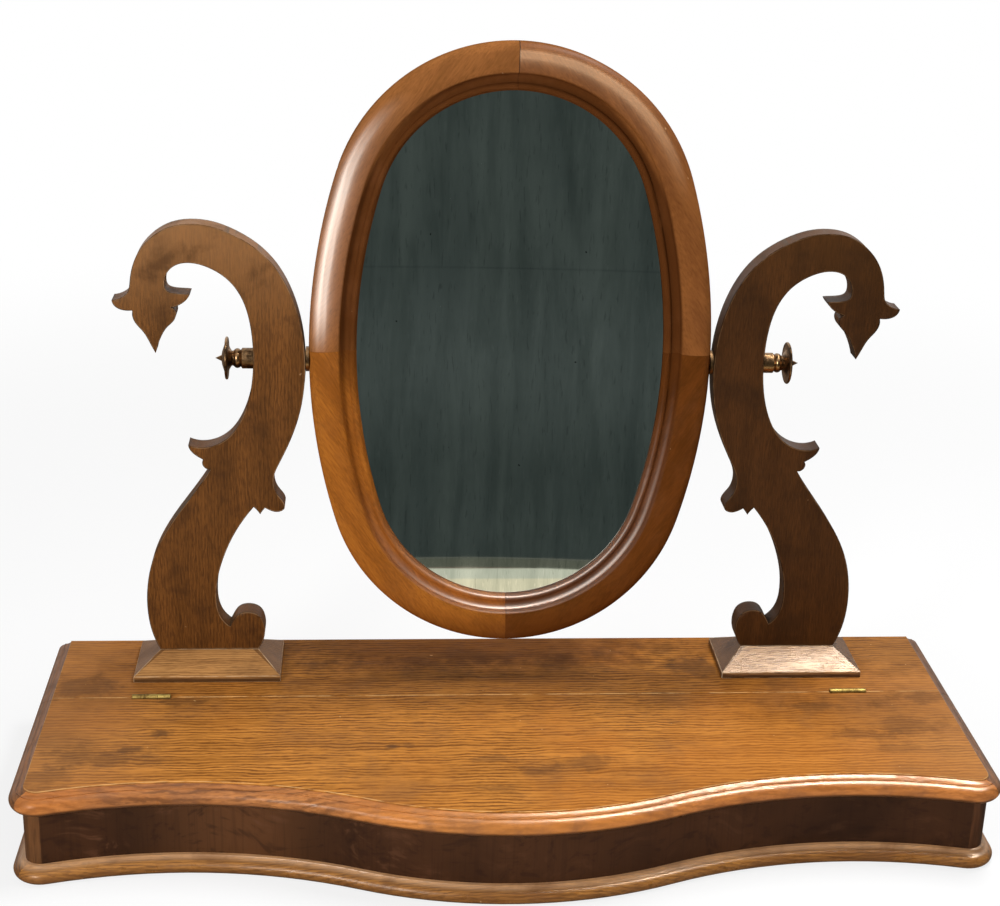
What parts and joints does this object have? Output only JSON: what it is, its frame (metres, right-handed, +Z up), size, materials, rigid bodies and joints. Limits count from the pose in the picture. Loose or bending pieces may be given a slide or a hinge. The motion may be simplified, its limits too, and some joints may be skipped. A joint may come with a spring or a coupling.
{
  "type": "box toilet mirror",
  "caption": "Oval swing mirror between scroll supports on a long low box with a bowed front and a hinged lid.",
  "frame": {"origin": "on the table, under the middle of the whole object", "axes": "+X along the box to the right as seen from the front, +Y from front to back, +Z up"},
  "size_m": [0.796, 0.31, 0.6279],
  "materials": {
    "top_wood": "old french polish, satin",
    "moulding_wood": "french polish, glossy",
    "frieze_veneer": "dark figured veneer, french polish",
    "case_wood": "bare planed softwood",
    "side_wood": "stained and polished",
    "support_wood": "french polish, worn at the edges",
    "frame_wood": "french polish, glossy",
    "dowel_wood": "bare",
    "mirror_glass": "old silvered glass",
    "hinge_brass": "polished",
    "aged_brass": "dark with age",
    "steel_screw": "dull"
  },
  "bodies": {
    "case": {"bottom_board": "case_wood", "front_core": "case_wood", "front_veneer": "frieze_veneer", "left_corner_post": "side_wood", "right_corner_post": "side_wood", "left_side_board": "side_wood", "right_side_board": "side_wood", "back_board": "case_wood", "front_plinth_moulding": "moulding_wood", "left_plinth_moulding": "moulding_wood", "right_plinth_moulding": "moulding_wood", "rear_rail": "top_wood", "left_rail_moulding": "moulding_wood", "right_rail_moulding": "moulding_wood", "left_block": "support_wood", "right_block": "support_wood", "left_support": "support_wood", "right_support": "support_wood", "support_dowels": "dowel_wood", "block_screws": "steel_screw", "bottom_screws": "steel_screw", "left_hinge_rail_leaf": "hinge_brass", "right_hinge_rail_leaf": "hinge_brass", "hinge_pins": "hinge_brass", "hinge_rail_screws": "hinge_brass"},
    "lid": {"lid_board": "top_wood", "lid_front_moulding": "moulding_wood", "left_lid_moulding": "moulding_wood", "right_lid_moulding": "moulding_wood", "left_hinge_lid_leaf": "hinge_brass", "right_hinge_lid_leaf": "hinge_brass", "hinge_lid_screws": "hinge_brass"},
    "mirror": {"upper_left_frame": "frame_wood", "upper_right_frame": "frame_wood", "lower_left_frame": "frame_wood", "lower_right_frame": "frame_wood", "frame_dowels": "dowel_wood", "mirror_glass": "mirror_glass", "mirror_backboard": "case_wood", "backboard_screws": "steel_screw", "left_pivot_plate": "aged_brass", "right_pivot_plate": "aged_brass", "pivot_plate_screws": "aged_brass"},
    "left_thumb_screw": {"left_knob": "aged_brass", "left_knob_rod": "aged_brass"},
    "right_thumb_screw": {"right_knob": "aged_brass", "right_knob_rod": "aged_brass"}
  },
  "joints": [
    {"name": "lid_hinge", "type": "hinge", "parent": "case", "child": "lid", "pos_m": [0, 0.0464, 0.0793], "axis": [-1, 0, 0], "range_deg": [0, 100]},
    {"name": "mirror_swing", "type": "hinge", "parent": "case", "child": "mirror", "pos_m": [0, 0.10765, 0.364], "axis": [1, 0, 0], "range_deg": [-60, 60]},
    {"name": "left_knob_turn", "type": "hinge", "parent": "case", "child": "left_thumb_screw", "pos_m": [-0.23, 0.10765, 0.364], "axis": [-1, 0, 0], "range_deg": [0, 360]},
    {"name": "right_knob_turn", "type": "hinge", "parent": "case", "child": "right_thumb_screw", "pos_m": [0.23, 0.10765, 0.364], "axis": [1, 0, 0], "range_deg": [0, 360]}
  ]
}
